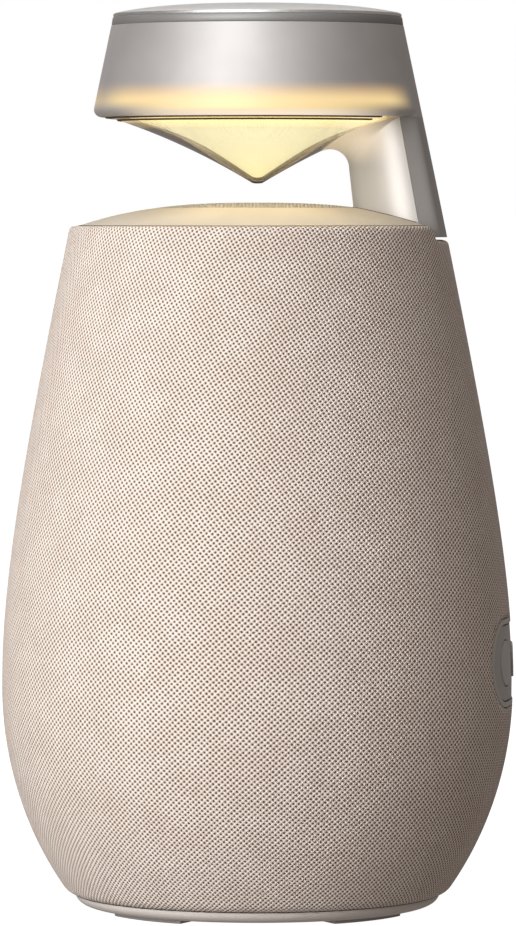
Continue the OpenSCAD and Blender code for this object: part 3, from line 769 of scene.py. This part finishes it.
def make_arm_shadow_line(material):
    """Thin dark bead where the arm stands on the dome: painted shadow of the seam."""
    loops = []
    for turn in spaced(-1, 1, 60):
        foot, facing = nose_point(turn, RIM_Z + 3 * MM)
        inner, outer = foot - facing * 0.4 * MM, foot + facing * 0.4 * MM
        low, high = dome_z(foot.length) - 0.4 * MM, dome_z(foot.length) + 0.22 * MM
        loops.append([(inner.x, inner.y, low), (outer.x, outer.y, low), (outer.x, outer.y, high - 0.1 * MM),
                      (inner.x, inner.y, high)])
    place(closed_strip("arm_foot_shadow", loops), material, "root", "rubber")


def rounded(points, radius, steps=5):
    """Points of an open outline with its inner corners rounded."""
    out = [points[0]]
    for before, corner, after in zip(points, points[1:], points[2:]):
        back = (before - corner).normalized() * min(radius, (before - corner).length / 2)
        on = (after - corner).normalized() * min(radius, (after - corner).length / 2)
        for t in spaced(0, 1, steps):
            out.append((corner + back) * (1 - t) ** 2 + corner * 2 * t * (1 - t) + (corner + on) * t * t)
    return out + [points[-1]]


def arm_outer_section(z):
    """Closed section of the arm's outer shell: outside from crease to crease, and back inside."""
    s = arm_scale(z)
    r = outline_r(z)
    crease = Vector((CREASE_X, CREASE_Y)) * s
    edge = Vector((CHAMFER_X, CHAMFER_Y)) * s
    half_angle = math.atan2(edge.y, math.sqrt(r * r - edge.y * edge.y)) - math.radians(0.5)
    face = [Vector((math.cos(a), math.sin(a))) * r for a in spaced(half_angle, 0, 10)]
    half = rounded([crease, edge, face[1]], 2.2 * MM)[:-1] + face[1:]
    outside = half + [Vector((p.x, -p.y)) for p in half[-2::-1]]
    middle = Vector((CREASE_X * s, 0))
    inside = [p + (middle - p).normalized() * ARM_SKIN for p in outside]
    return outside + inside[::-1]


def make_arm_outer(material):
    loops = [[(p.x, p.y, z) for p in arm_outer_section(z)] for z in spaced(ARM_LOW, HEAD_Z + 0.4 * MM, 24)]
    arm = closed_strip("arm_outer_soft", loops, sharp_angle=50)
    place(arm, material, "root", "smoked_shell", "arm_outer")
    return arm


# ---- soft-edged copies of CAD nodes that are seen close to ----
def soften(node, material, slot, width):
    """Stands for a CAD node with the same faces and softly rounded edges."""
    bm = bmesh.new()
    bm.from_mesh(frame["nodes"][node].data)
    bmesh.ops.remove_doubles(bm, verts=bm.verts, dist=0.005 * MM)
    bmesh.ops.dissolve_limit(bm, angle_limit=math.radians(0.6), verts=bm.verts, edges=bm.edges)
    soft = finish_mesh(node + "_soft", bm)
    modifier = soft.modifiers.new("edges", "BEVEL")
    modifier.width = width
    modifier.segments = 3
    modifier.limit_method = "ANGLE"
    modifier.angle_limit = math.radians(40)
    modifier.harden_normals = False
    body = frame["nodes"][node]["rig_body"]
    place(soft, material, body, slot, node)
    return soft


# ---- materials of the lamp ----
STRIP_LOW = cone_z(33.2 * MM)
STRIP_HIGH = cone_z(STEP_RING_R)
GLOW_TOP = 221.6 * MM
GLOW_FULL = 215.6 * MM
LIP_BAND = 213.6 * MM


def shell_material():
    """Satin translucent shell with the ring of warm light from the guide behind its lower edge; the glow is
    dimmed by painted shade at the shell's sides.
    """
    s = Shader("satin_shell")
    x, y, z = s.xyz()
    fine = s.noise(0.15 * MM, 3)
    rise = s.ramp(z, GLOW_FULL, GLOW_TOP, 1.0, 0.0)
    pale = s.ramp(z, HEAD_Z + 0.6 * MM, LIP_BAND + 0.6 * MM, 1.0, 0.0)
    # The glow fades out at the arm, and more weakly at the far side at -X, where the fade is painted shade of
    # the shell turning away from the front.
    arm_fade_and_side_shade = s.ramp(s.math("ABSOLUTE", y), 13 * MM, 27 * MM, 1.0, 0.0)
    arm_fade_and_side_shade = s.math("MULTIPLY", arm_fade_and_side_shade, s.ramp(x, -70 * MM, 0, 0.35, 1.0))
    # Painted shade: the glow is taken off the lower corner at both sides, where the shell turns away from the
    # front.
    side = s.ramp(s.math("ABSOLUTE", y), 20 * MM, 44 * MM, 1.0, 0.0)
    corner = s.math("MULTIPLY", side, s.ramp(z, HEAD_Z + 1 * MM, HEAD_Z + 4.5 * MM, 1.0, 0.0))
    glow = s.math("MULTIPLY", rise, s.math("SUBTRACT", 1, arm_fade_and_side_shade))
    glow = s.math("MULTIPLY", glow, s.math("SUBTRACT", 1, corner))
    haze = s.ramp(s.noise(16 * MM, 2), 0.3, 0.7)
    base = s.mix(haze, (0.565, 0.55, 0.54), (0.605, 0.59, 0.58))
    s.set(Base_Color=s.mix(glow, base, (0.30, 0.26, 0.20)))
    s.set(Metallic=0.84, Coat_Weight=0.1, Coat_Roughness=0.4)
    s.set(Roughness=s.ramp(fine, 0.2, 0.8, 0.63, 0.69))
    warm = s.mix(rise, (1.0, 0.60, 0.26), (1.0, 0.74, 0.34))
    s.set(Emission_Color=s.mix(pale, warm, (1.0, 0.86, 0.68)))
    s.set(Emission_Strength=s.math("MULTIPLY", glow, 0.82))
    s.bump(fine, 0.004 * MM)
    return s.material


def lit_material():
    """Milky lining of the cone, lit warm from behind: creamier at the rim, more yellow at the tip."""
    s = Shader("lit_lining")
    z = s.xyz()["Z"]
    cloud = s.noise(7 * MM, 2)
    up = s.ramp(z, CONE_TIP_Z, CONE_TIP_Z + 13 * MM)
    rim = s.ramp(z, CONE_TIP_Z + 15 * MM, CONE_TIP_Z + 19 * MM)
    tone = s.mix(up, (1.0, 0.93, 0.55), (1.0, 0.99, 0.72))
    s.set(Emission_Color=s.mix(rim, tone, (1.0, 0.87, 0.44)))
    s.set(Emission_Strength=s.ramp(cloud, 0, 1, 1.95, 2.05))
    s.set(Base_Color=s.mix(cloud, (0.34, 0.31, 0.26), (0.38, 0.35, 0.3)))
    s.set(Roughness=s.ramp(cloud, 0, 1, 0.45, 0.6))
    s.bump(s.noise(0.3 * MM), 0.01 * MM)
    return s.material


def clear_material():
    """Clear, slightly smoky moulded cone. Light from the guide leaks through it in a band under the rim."""
    s = Shader("clear_cone")
    z = s.xyz()["Z"]
    cloud = s.noise(12 * MM, 1)
    s.set(Base_Color=s.mix(cloud, (0.55, 0.50, 0.42), (0.58, 0.53, 0.45)))
    s.set(Transmission_Weight=1.0, IOR=1.49, Roughness=0.015)
    band = s.ramp(z, STRIP_LOW, STRIP_LOW + 0.9 * MM)
    above = s.ramp(z, STRIP_HIGH, STRIP_HIGH + 0.2 * MM, 1.0, 0.3)
    s.set(Emission_Color=s.mix(above, (1.0, 0.62, 0.18), (1.0, 0.78, 0.34)))
    s.set(Emission_Strength=s.math("MULTIPLY", s.math("MULTIPLY", band, above), 0.28))
    return s.material


def arm_material():
    """Pearl plastic of the arm's front, with a painted warm glow near the top where it grows into the cone,
    for the light that the lit cone throws on it.
    """
    s = Shader("pearl_plastic")
    x, _, z = s.xyz()
    fine = s.noise(0.2 * MM, 2)
    s.set(Base_Color=s.mix(fine, (0.41, 0.39, 0.37), (0.43, 0.41, 0.39)))
    s.set(Metallic=0.25, Roughness=s.ramp(fine, 0.2, 0.8, 0.40, 0.44))
    # Painted light: the top of the arm's inner face glows warm, standing in for the cone's light falling on
    # it.
    high = s.ramp(z, HEAD_Z - 14 * MM, HEAD_Z - 5 * MM)
    lit = s.math("MULTIPLY", high, s.ramp(x, 27 * MM, 38 * MM, 1.0, 0.1))
    s.set(Emission_Color=(1.0, 0.80, 0.52, 1), Emission_Strength=s.math("MULTIPLY", lit, 0.5))
    s.bump(fine, 0.003 * MM)
    return s.material


def chip_material():
    s = Shader("lamp_chip")
    dots = s.noise(0.5 * MM, 2)
    s.set(Base_Color=s.mix(dots, (0.9, 0.75, 0.3), (1.0, 0.9, 0.5)))
    s.set(Emission_Color=(1.0, 0.8, 0.45, 1), Emission_Strength=s.ramp(dots, 0, 1, 1.5, 2.5))
    s.set(Roughness=s.ramp(dots, 0, 1, 0.3, 0.5))
    return s.material


# ---- stage, lights and camera ----
LAMP_AIM_Z = 0.12


def make_floor():
    bpy.ops.mesh.primitive_plane_add(size=400, location=(0, 0, cad_box[0][2]))
    floor = bpy.context.object
    floor.name = "studio_floor"
    s = Shader("pale_floor")
    s.set(Base_Color=s.mix(s.noise(0.4), (0.30, 0.30, 0.30), (0.32, 0.32, 0.32)))
    s.set(Roughness=0.9, Specular_IOR_Level=0.0)
    s.set(Emission_Color=(1, 1, 1, 1), Emission_Strength=0.97)
    floor.data.materials.append(s.material)
    floor.visible_diffuse = False
    floor.visible_glossy = False
    floor.visible_transmission = False


def area_lamp(name, size, power, diffuse=True, glossy=True):
    """Rectangle of light that the camera doesn't see."""
    light = bpy.data.lights.new(name, "AREA")
    light.shape = "RECTANGLE"
    light.size, light.size_y = size
    light.energy = power
    lamp = bpy.data.objects.new(name, light)
    bpy.context.scene.collection.objects.link(lamp)
    lamp.visible_camera = False
    lamp.visible_diffuse = diffuse
    lamp.visible_glossy = glossy
    return lamp


def aim_lamp(lamp, azimuth, elevation, distance):
    """Turns the lamp to the middle of the object. Azimuth 0 is the camera's side, positive to the right."""
    a, e = math.radians(azimuth), math.radians(elevation)
    way = Vector((math.sin(a) * math.cos(e), -math.cos(a) * math.cos(e), math.sin(e)))
    lamp.location = Vector((0, 0, LAMP_AIM_Z)) + way * distance
    lamp.rotation_euler = way.to_track_quat("Z", "Y").to_euler()


def lamp_glow(turn):
    """Small warm light under the clear cone: what the lit cone throws down on the dome and the arm."""
    r = 33 * MM
    glow = area_lamp("lamp_glow", (0.014, 0.014), 0.0044, glossy=False)
    glow.data.color = (1.0, 0.80, 0.46)
    glow.location = Vector((r * math.cos(turn), r * math.sin(turn), cone_z(r) - 1.5 * MM))
    glow.visible_transmission = False


def make_world():
    """White to the camera, and a dim even fill for everything else."""
    world = bpy.data.worlds.new("studio")
    bpy.context.scene.world = world
    world.use_nodes = True
    tree = world.node_tree
    tree.nodes.clear()
    white = tree.nodes.new("ShaderNodeBackground")
    white.inputs["Color"].default_value = (1, 1, 1, 1)
    white.inputs["Strength"].default_value = 1.0
    dim = tree.nodes.new("ShaderNodeBackground")
    dim.inputs["Color"].default_value = (1.0, 0.89, 0.83, 1)
    dim.inputs["Strength"].default_value = 0.23
    path = tree.nodes.new("ShaderNodeLightPath")
    mix = tree.nodes.new("ShaderNodeMixShader")
    out = tree.nodes.new("ShaderNodeOutputWorld")
    tree.links.new(path.outputs["Is Camera Ray"], mix.inputs[0])
    tree.links.new(dim.outputs[0], mix.inputs[1])
    tree.links.new(white.outputs[0], mix.inputs[2])
    tree.links.new(mix.outputs[0], out.inputs["Surface"])


def make_camera():
    """Long lens a little above the middle of the object, as in a product photograph."""
    height = cad_box[1][2]
    aim = Vector((0.15 * MM, 0, height * 0.4934))
    camera = bpy.data.cameras.new("camera")
    camera.sensor_fit = "AUTO"
    camera.sensor_width = 36
    camera.lens = 229.4
    holder = bpy.data.objects.new("camera", camera)
    bpy.context.scene.collection.objects.link(holder)
    holder.location = Vector((0.15 * MM, -1.58, 0.187))
    holder.rotation_euler = (aim - holder.location).to_track_quat("-Z", "Y").to_euler()
    bpy.context.scene.camera = holder


def make_lights():
    aim_lamp(area_lamp("key", (0.8, 1.0), 24, glossy=False), -38, 10, 1.3)
    aim_lamp(area_lamp("front_strip", (0.7, 1.4), 24, diffuse=False), -21, 15, 1.5)
    aim_lamp(area_lamp("top", (0.8, 0.8), 3.2), -20, 78, 1.2)
    aim_lamp(area_lamp("back_top", (1.6, 0.7), 3.6), -170, 48, 1.6)
    for turn in (70, 110, 250, 290):
        lamp_glow(math.radians(turn))


# ---- the object ----
CREAM = (0.60, 0.55, 0.475)
GRAY = (0.42, 0.405, 0.385)

CARRIED = {
    "dark_plastic": ["cabinet_upper", "cabinet_lower", "battery_holder", "bottom_cover", "board_parts",
                     "radiator_frame_front", "radiator_frame_back", "woofer_basket", "key_switches"],
    "cream_plastic": ["top_plate"],
    "white_plastic": ["head_chassis", "led_board"],
    "steel": ["base_screws", "board_screws", "baffle_screws", "arm_screws", "chassis_screws",
              "woofer_front_washer", "woofer_yoke", "usb_socket", "arm_bracket", "radiator_front",
              "radiator_back"],
    "aluminium": ["heat_sink"],
    "ferrite": ["woofer_magnet"],
    "paper": ["woofer_cone"],
    "coil": ["voice_coil"],
    "spider": ["woofer_spider"],
    "rubber": ["woofer_surround", "radiator_surround_front", "radiator_surround_back", "cabinet_gasket",
               "lamp_cable"],
    "board": ["main_board", "key_board", "touch_board"],
    "wrap": ["battery_cells"],
    "chips": ["led_chips"],
    "guide": ["light_guide"],
}


def carried_materials():
    return {
        "dark_plastic": moulded("dark_plastic", (0.035, 0.035, 0.036), 0.5, grain=0.3 * MM, relief=0.03 * MM),
        "cream_plastic": moulded("cream_plastic", CREAM, 0.65),
        "white_plastic": moulded("white_plastic", (0.75, 0.74, 0.72), 0.4),
        "steel": metal("zinc_steel", (0.62, 0.62, 0.61)),
        "aluminium": metal("aluminium_fins", (0.78, 0.78, 0.78), 0.38),
        "ferrite": moulded("ferrite", (0.05, 0.05, 0.052), 0.6, grain=0.5 * MM, relief=0.05 * MM),
        "paper": moulded("pressed_paper", (0.045, 0.045, 0.048), 0.85, grain=0.7 * MM, relief=0.08 * MM),
        "coil": wound("copper_coil", (0.72, 0.38, 0.2), 0.3 * MM, 0.3),
        "spider": wound("spider_cloth", (0.6, 0.4, 0.12), 0.5 * MM, 0.8),
        "rubber": moulded("soft_rubber", (0.03, 0.03, 0.03), 0.62, grain=0.4 * MM, relief=0.02 * MM),
        "board": circuit("solder_mask", (0.015, 0.12, 0.05)),
        "wrap": wound("battery_wrap", (0.05, 0.16, 0.42), 4 * MM, 0.35),
        "chips": chip_material(),
        "guide": moulded("light_guide", (0.92, 0.86, 0.7), 0.3),
    }


def dress_carried_nodes():
    materials = carried_materials()
    for kind, names in CARRIED.items():
        for name in names:
            mesh = frame["nodes"][name].data
            mesh.materials.clear()
            mesh.materials.append(materials[kind])


def make_panel():
    gray = moulded("panel_plastic", GRAY, 0.38, grain=0.18 * MM, relief=0.012 * MM, coat=0.2)
    key = moulded("key_plastic", scaled(GRAY, 1.15), 0.34, grain=0.18 * MM, relief=0.01 * MM, coat=0.2)
    # Painted highlight: the bezel is made lighter than the panel, for the highlight along its rounded rim.
    rim = moulded("lighter_bezel_highlight", scaled(GRAY, 1.2), 0.4, grain=0.18 * MM, relief=0.012 * MM, coat=0.2)
    soften("panel_bezel", rim, "gray_plastic", 0.45 * MM)
    for node in ("control_panel", "port_cover"):
        soften(node, gray, "gray_plastic", 0.25 * MM)
    for node in ("power_key", "pairing_key"):
        soften(node, key, "gray_plastic", 0.3 * MM)


def make_feet():
    rubber = moulded("foot_rubber", (0.30, 0.28, 0.265), 0.6, grain=0.3 * MM, relief=0.02 * MM)
    for i in (1, 2, 3, 4):
        soften(f"foot_{i}", rubber, "rubber", 0.2 * MM)


def make_cone():
    clear = lathe("reflector_cone_clear", cone_profile(CONE_RIM_R, CONE_T))
    place(clear, clear_material(), "root", "clear_plastic", "reflector_cone")
    lining = lathe("cone_lining_lit", lining_profile())
    place(lining, lit_material(), "root", "lit_diffuser", "cone_diffuser")


def make_cone_shadow_lines(material):
    """Two fine dark lines of painted shadow: in the gap at the seat between cone and shell, and at the small
    step lower on the cone.
    """
    seat = [(SEAT_RING_R - 0.5 * MM, HEAD_Z - 0.42 * MM), (SEAT_RING_R + 0.55 * MM, HEAD_Z - 0.3 * MM),
            (SEAT_RING_R + 0.55 * MM, HEAD_Z + 0.3 * MM), (SEAT_RING_R - 0.5 * MM, HEAD_Z + 0.3 * MM)]
    place(ring_section("cone_seat_shadow", seat, *RING_ENDS), material, "root", "rubber")
    z = cone_z(STEP_RING_R)
    step = [(STEP_RING_R - 0.4 * MM, z - 0.32 * MM), (STEP_RING_R + 0.1 * MM, z - 0.22 * MM),
            (STEP_RING_R + 0.4 * MM, z + 0.2 * MM), (STEP_RING_R - 0.3 * MM, z + 0.3 * MM)]
    place(ring_section("cone_step_shadow", step, *RING_ENDS), material, "root", "rubber")


def main():
    bpy.context.scene.view_settings.view_transform = "Standard"
    make_camera()
    make_world()
    make_floor()
    make_lights()
    dress_carried_nodes()
    knit = knit_material()
    make_sleeve(knit)
    make_seam(moulded("stitch_yarn", (0.7, 0.6, 0.52), 0.85, grain=0.2 * MM, relief=0.05 * MM))
    make_grille(moulded("grille_plastic", scaled(CREAM, 0.72), 0.65))
    # Dark material of the painted shadow lines in the gaps at the dome's edge and at the arm's foot.
    seam_shade = moulded("painted_seam_shadow", (0.10, 0.075, 0.055), 0.7, grain=0.2 * MM)
    make_dome_shadow_line(seam_shade)
    make_arm_shadow_line(seam_shade)
    make_base_ring(moulded("base_plastic", (0.64, 0.59, 0.55), 0.45))
    make_shell(shell_material())
    make_trim(satin("trim_paint", (0.33, 0.325, 0.32), 0.6, 0.7))
    make_cap(metal("cap_metal", (0.82, 0.82, 0.81), 0.46, stretch=(0.1, 1, 1)))
    make_cone()
    make_cone_shadow_lines(moulded("gap_shadow_dark", (0.055, 0.038, 0.02), 0.6, grain=0.2 * MM))
    make_arm_inner(arm_material())
    # Painted shade: the arm's outer face gets a darker, less metallic satin than the shell's, for the shade
    # on the side turned from the light.
    make_arm_outer(satin("shaded_arm_satin", (0.46, 0.445, 0.43), 0.5, 0.5))
    make_panel()
    make_feet()


main()
